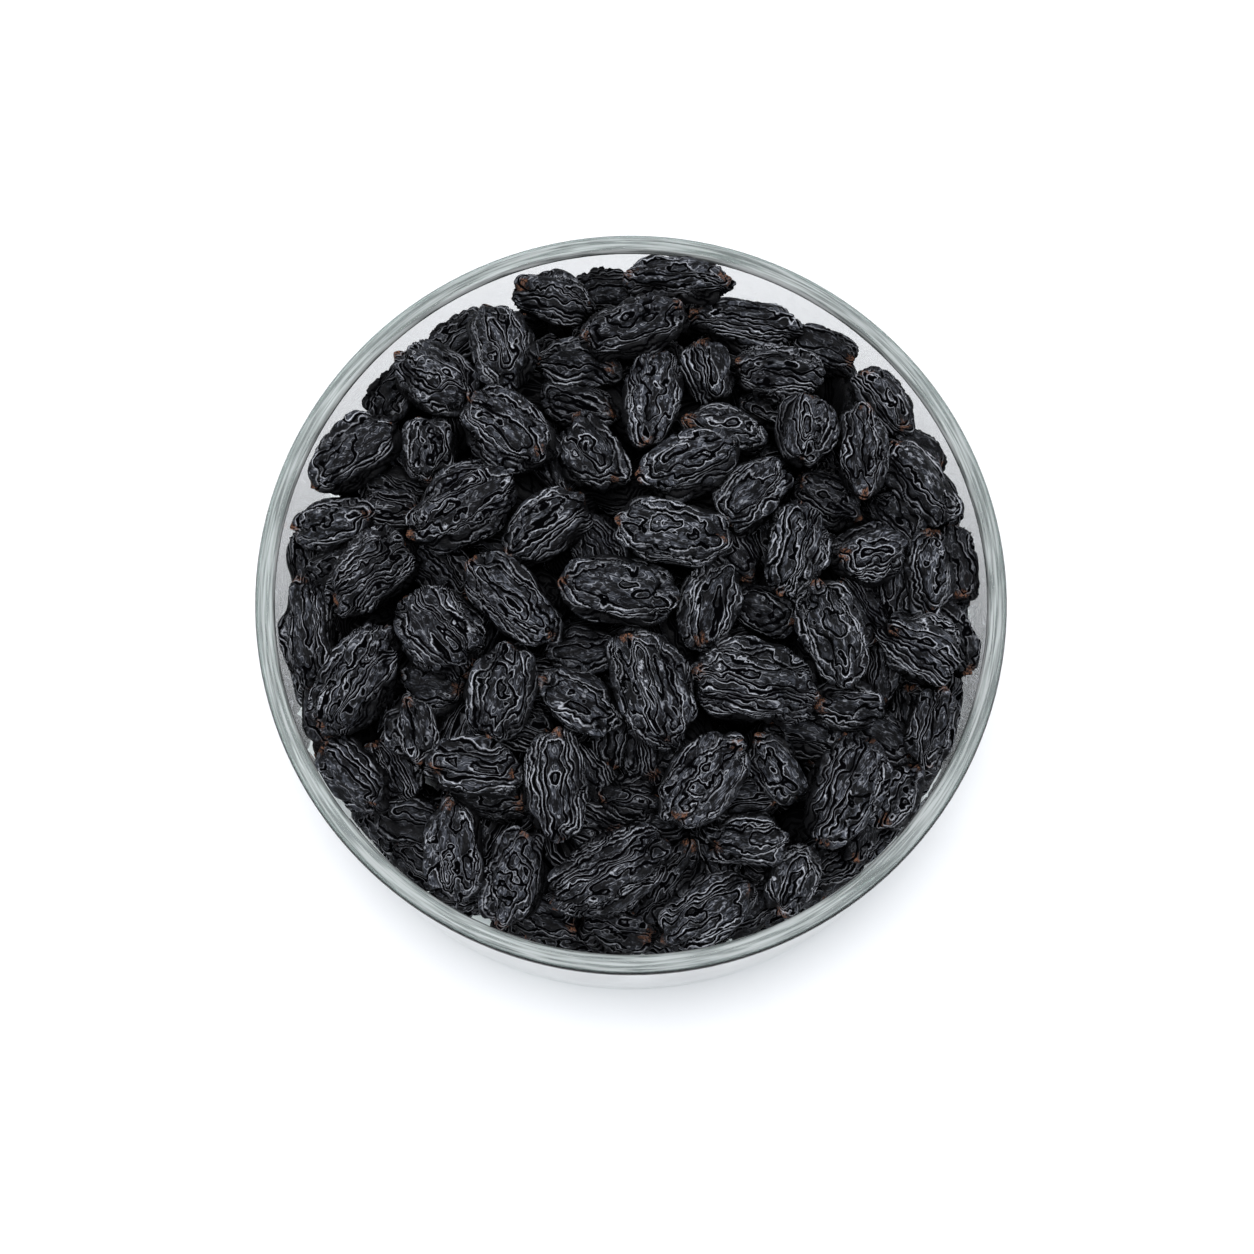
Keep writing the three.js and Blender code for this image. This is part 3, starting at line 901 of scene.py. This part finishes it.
class Heap:
    """Raisins as rows of balls, with the ones that may move and the places of those that keep to one."""

    def __init__(self, fixed, second, fill):
        parts = list(zip(fixed, second, fill))
        self.middles, self.ways, self.halves = (np.concatenate(part) for part in parts)
        self.first_second = len(fixed[0])
        self.first_fill = self.first_second + len(second[0])
        long = self.halves[:, 0]
        short = self.halves[:, 1:].mean(axis=1)
        reach = (long ** 2 - short ** 2) / long
        self.levers = reach[:, None] * BALL_SPOTS
        self.radii = short[:, None] * np.sqrt(1 - self.levers ** 2 / (long ** 2 - short ** 2)[:, None])
        self.swing = (long ** 2 + short ** 2) / 5
        self.homes = self.middles.copy()
        self.home_ways = self.ways.copy()

    def balls(self):
        """The middles of each raisin's five balls."""
        return self.middles[:, None, :] + self.ways[:, None, :] * self.levers[:, :, None]

    def near_pairs(self):
        """Pairs that may touch, of which at least one can move."""
        gaps = np.linalg.norm(self.middles[:, None] - self.middles[None], axis=2)
        room = self.halves[:, 0][:, None] + self.halves[:, 0][None] + PAIR_ROOM
        first, second = np.nonzero(np.triu(gaps < room, 1))
        movable = second >= self.first_second
        return first[movable], second[movable]

    def push(self, index, levers, shifts, total, turns, counts):
        """Adds a shift at a lever along each raisin, split into a move and a turn."""
        resist = 1 + levers ** 2 / self.swing[index]
        np.add.at(total, index, shifts / resist[:, None])
        np.add.at(turns, index, shifts * (levers / self.swing[index] / resist)[:, None])
        np.add.at(counts, index, 1)

    def part_pairs(self, pairs, total, turns, counts):
        """Pushes each pair apart where two of its balls overlap most, and returns how deep they do."""
        first, second = pairs
        balls = self.balls()
        lines = balls[first][:, :, None] - balls[second][:, None]
        lengths = np.linalg.norm(lines, axis=3)
        depths = self.radii[first][:, :, None] + self.radii[second][:, None] - lengths
        flat = depths.reshape(len(first), -1)
        deepest = flat.argmax(axis=1)
        rows = np.arange(len(first))
        touching = flat[rows, deepest] > 0
        rows = rows[touching]
        one, other = np.divmod(deepest[rows], len(BALL_SPOTS))
        line = lines[rows, one, other]
        shift = line / lengths[rows, one, other][:, None] * flat[rows, deepest[rows]][:, None] / 2
        first, second = first[rows], second[rows]
        self.push(first, self.levers[first, one], shift, total, turns, counts)
        self.push(second, self.levers[second, other], -shift, total, turns, counts)
        return flat[rows, deepest[rows]]

    def keep_in_bowl(self, total, turns, counts):
        """Pushes balls back that reach into the wall, the floor or the round between them."""
        balls = self.balls()
        radius = np.hypot(balls[..., 0], balls[..., 1])
        over = radius + self.radii - INNER_RADIUS
        out = np.zeros_like(balls)
        out[..., :2] = -balls[..., :2] / (radius[..., None] + TINY) * np.maximum(over, 0)[..., None]
        out[..., 2] = np.maximum(BASE_THICKNESS + self.radii - balls[..., 2], 0)
        corner_radius = radius - (INNER_RADIUS - FLOOR_ROUND)
        corner_height = BASE_THICKNESS + FLOOR_ROUND - balls[..., 2]
        corner = np.hypot(corner_radius, corner_height)
        in_corner = (corner_radius > 0) & (corner_height > 0)
        too_far = np.maximum(corner + self.radii - FLOOR_ROUND, 0)
        excess = np.where(in_corner, too_far, 0) / (corner + TINY)
        out[..., :2] -= balls[..., :2] / (radius[..., None] + TINY) * (excess * corner_radius)[..., None]
        out[..., 2] += excess * corner_height
        raisin, spot = np.nonzero(np.linalg.norm(out, axis=2) > LEAST_PUSH)
        self.push(raisin, self.levers[raisin, spot], out[raisin, spot], total, turns, counts)

    def shake(self):
        """All rounds of pushing; returns how deep the touching pairs overlap in the last one."""
        for round_number in range(ROUNDS):
            if round_number % PAIR_ROUNDS == 0:
                pairs = self.near_pairs()
            total = np.zeros_like(self.middles)
            turns = np.zeros_like(self.middles)
            counts = np.zeros(len(self.middles))
            overlaps = self.part_pairs(pairs, total, turns, counts)
            self.keep_in_bowl(total, turns, counts)
            ease = (PUSH_SHARE * 2 / np.maximum(counts, 1) ** 0.5)[:, None]
            free = slice(self.first_second, None)
            self.middles[free] += (total * ease)[free]
            self.ways[free] = unit(self.ways[free] + (turns * ease)[free])
            self.keep_order()
        return overlaps

    def keep_order(self):
        """The second layer goes back towards its listed places and floats up; the rest stays below."""
        listed = slice(self.first_second, self.first_fill)
        self.middles[listed, :2] += HOME_SHARE * (self.homes - self.middles)[listed, :2]
        self.middles[listed, 2] += FLOAT_UP
        self.ways[listed] = unit(self.ways[listed] + HOME_SHARE * (self.home_ways - self.ways)[listed])
        radius = np.hypot(self.middles[:, 0], self.middles[:, 1])
        roof = heap_height(radius) - FILL_DEPTH - wall_drop(self.middles, radius)
        roof[listed] = heap_height(radius[listed]) - SECOND_DEPTH
        free = slice(self.first_second, None)
        self.middles[free, 2] = np.minimum(self.middles[free, 2], roof[free])


top_bodies = [read_body(name) for name in top_names]
top_start = tuple(np.array(part) for part in (
    [middle for middle, turn, half in top_bodies],
    [turn[:, 0] for middle, turn, half in top_bodies],
    [half for middle, turn, half in top_bodies]))
heap = Heap(top_start, start_second_layer(), start_fill(np.random.default_rng(SEED)))
overlaps = heap.shake()
print(len(heap.middles), "raisins; touching pairs overlap by", overlaps.mean().round(2), "mm on average")

# %% [markdown]
# Detail goes where it is seen. Raisins that show between the top ones get fine faces, those that
# lean on the glass somewhat fewer, and those deep inside, which nothing shows, a few dozen each.
# The flat side of a raisin carries the most bloom and painted light, so it is turned to where it is
# seen from: out through the glass, or up. Those in the gaps of the top layer lie in its shade, so they
# get less bloom and painted light, which paints that shade; so do the others under the top layer,
# except those against the glass.
# Neighbours are joined into one piece, because hundreds of loose pieces are slow to handle.

# %% Make the filling
SECOND_CUTS = 15
GLASS_CUTS = 10
BEHIND_CUTS = 6
INSIDE_CUTS = 2
# Share of bloom and painted light that each fineness keeps; less of it is painted shade under the top
# layer
BLOOM_AND_LIGHT_LEFT = {SECOND_CUTS: 0.5, GLASS_CUTS: 1.0, BEHIND_CUTS: 0.7, INSIDE_CUTS: 0.5}
LOOSE_SHARE = 0.3
UP = np.array([0, 0, 1.0])
FILL_SEED = SEED + 1000
GLASS_BAND = 9.0
BEHIND_BAND = 18.0
SEEN_DEPTH = 5.0
GLASS_GROUPS = 12
SECOND_GROUPS = 6


def turn_with(way, thin):
    """Axes of a raisin: its long axis, its width, and its thin axis as near to thin as it can be."""
    side = unit(np.cross(thin, way))
    return np.column_stack([way, side, np.cross(way, side)])


def sector_of(middle, count):
    """Which of this many equal slices of the bowl a raisin lies in, counted from 0."""
    return int((math.atan2(middle[1], middle[0]) / math.tau % 1) * count)


def kind_of(index, middle):
    """Which group a raisin of the filling belongs to, and how fine its faces are."""
    radius = math.hypot(middle[0], middle[1])
    if index < heap.first_fill:
        return f"second_layer_{sector_of(middle, SECOND_GROUPS) + 1}", SECOND_CUTS
    if radius > INNER_RADIUS - GLASS_BAND:
        return f"against_glass_{sector_of(middle, GLASS_GROUPS) + 1:02d}", GLASS_CUTS
    if radius > INNER_RADIUS - BEHIND_BAND or middle[2] > heap_height(radius) - FILL_DEPTH - SEEN_DEPTH:
        return "behind_the_glass", BEHIND_CUTS
    return "deep_inside", INSIDE_CUTS


def facing(group, middle, loose):
    """Where a raisin's flat side looks: out through the glass, up between the top ones, or anywhere."""
    outwards = unit(middle * (1, 1, 0))
    if group.startswith("against"):
        return outwards
    if group.startswith("second"):
        return UP + LOOSE_SHARE * loose
    if math.hypot(middle[0], middle[1]) > INNER_RADIUS - BEHIND_BAND:
        return outwards + LOOSE_SHARE * loose
    return loose


def join_raisins(name, members):
    """Joins raisin objects into one piece that rides and stands for the solid of the filling."""
    with bpy.context.temp_override(active_object=members[0], selected_editable_objects=members):
        bpy.ops.object.join()
    piece = members[0]
    piece.name = name
    piece.data.name = name
    piece.data.materials.append(raisin_skin)
    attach(piece, "root")
    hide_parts("raisin_bed")
    return piece


balls = {cuts: Ball(cuts) for cuts in (SECOND_CUTS, GLASS_CUTS, BEHIND_CUTS, INSIDE_CUTS)}
groups = {}
for index in range(heap.first_second, len(heap.middles)):
    rng = np.random.default_rng(FILL_SEED + index)
    middle, way, half = heap.middles[index].copy(), heap.ways[index], heap.halves[index]
    group, cuts = kind_of(index, middle)
    thin = facing(group, middle, rng.normal(size=3))
    bloom_and_light = BLOOM_AND_LIGHT_LEFT[cuts]
    raisin = raisin_object(f"raisin_{index}", balls[cuts], half, turn_with(way, thin), middle, rng, bloom_and_light)
    groups.setdefault(group, []).append(raisin)
for group, members in sorted(groups.items()):
    count = len(members)
    piece = join_raisins(group, members)
    print(group, count, "raisins,", len(piece.data.polygons) * 2, "triangles")
